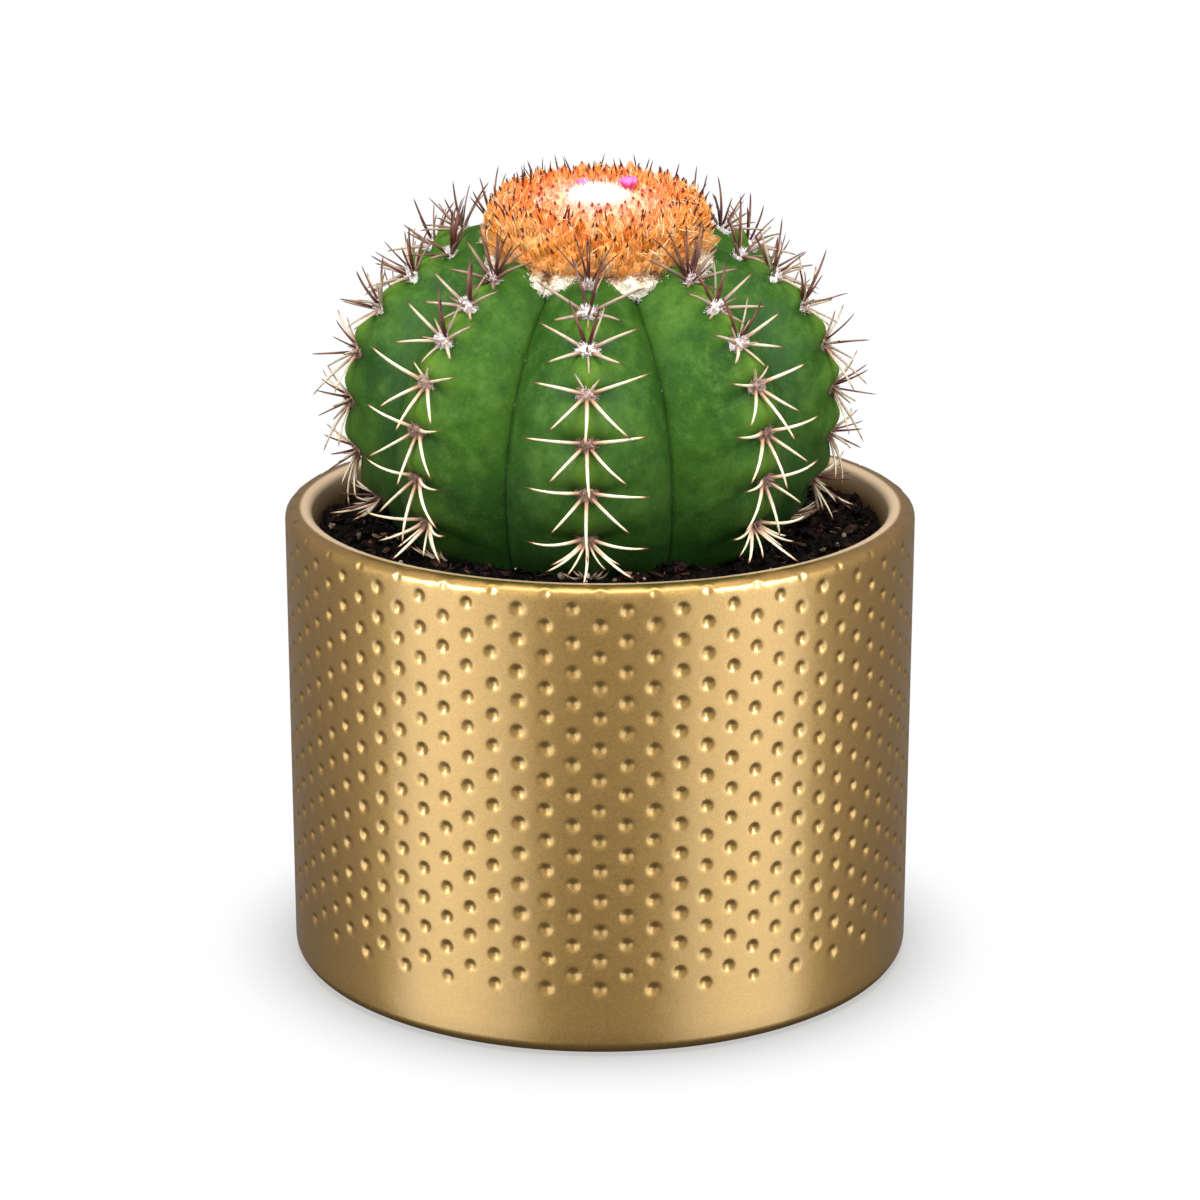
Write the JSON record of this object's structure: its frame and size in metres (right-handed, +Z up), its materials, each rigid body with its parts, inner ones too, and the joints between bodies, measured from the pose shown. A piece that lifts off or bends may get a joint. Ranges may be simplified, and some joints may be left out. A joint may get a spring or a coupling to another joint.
{
  "type": "potted round cactus",
  "caption": "Round ribbed cactus with curved spines and an orange bristly woolly cap, growing in soil in a dimpled gold ceramic pot.",
  "frame": {"origin": "middle of the pot's foot, on the surface that the pot stands on", "axes": "+Z up; -Y is the front, towards which the plant leans a little; +X is to the right seen from the front"},
  "size_m": [0.1348, 0.135, 0.1723],
  "materials": {
    "gold_glaze": "satin",
    "peat_soil": "matte",
    "cactus_skin": "satin",
    "orange_bristles": "matte",
    "cream_wool": "matte",
    "pink_petals": "matte"
  },
  "bodies": {
    "root": {"pot": "gold_glaze", "soil": "peat_soil", "cactus": "cactus_skin", "cephalium": "orange_bristles", "cephalium_wool": "cream_wool", "crown_wool": "cream_wool", "flower_1": "pink_petals", "flower_2": "pink_petals"}
  },
  "joints": []
}
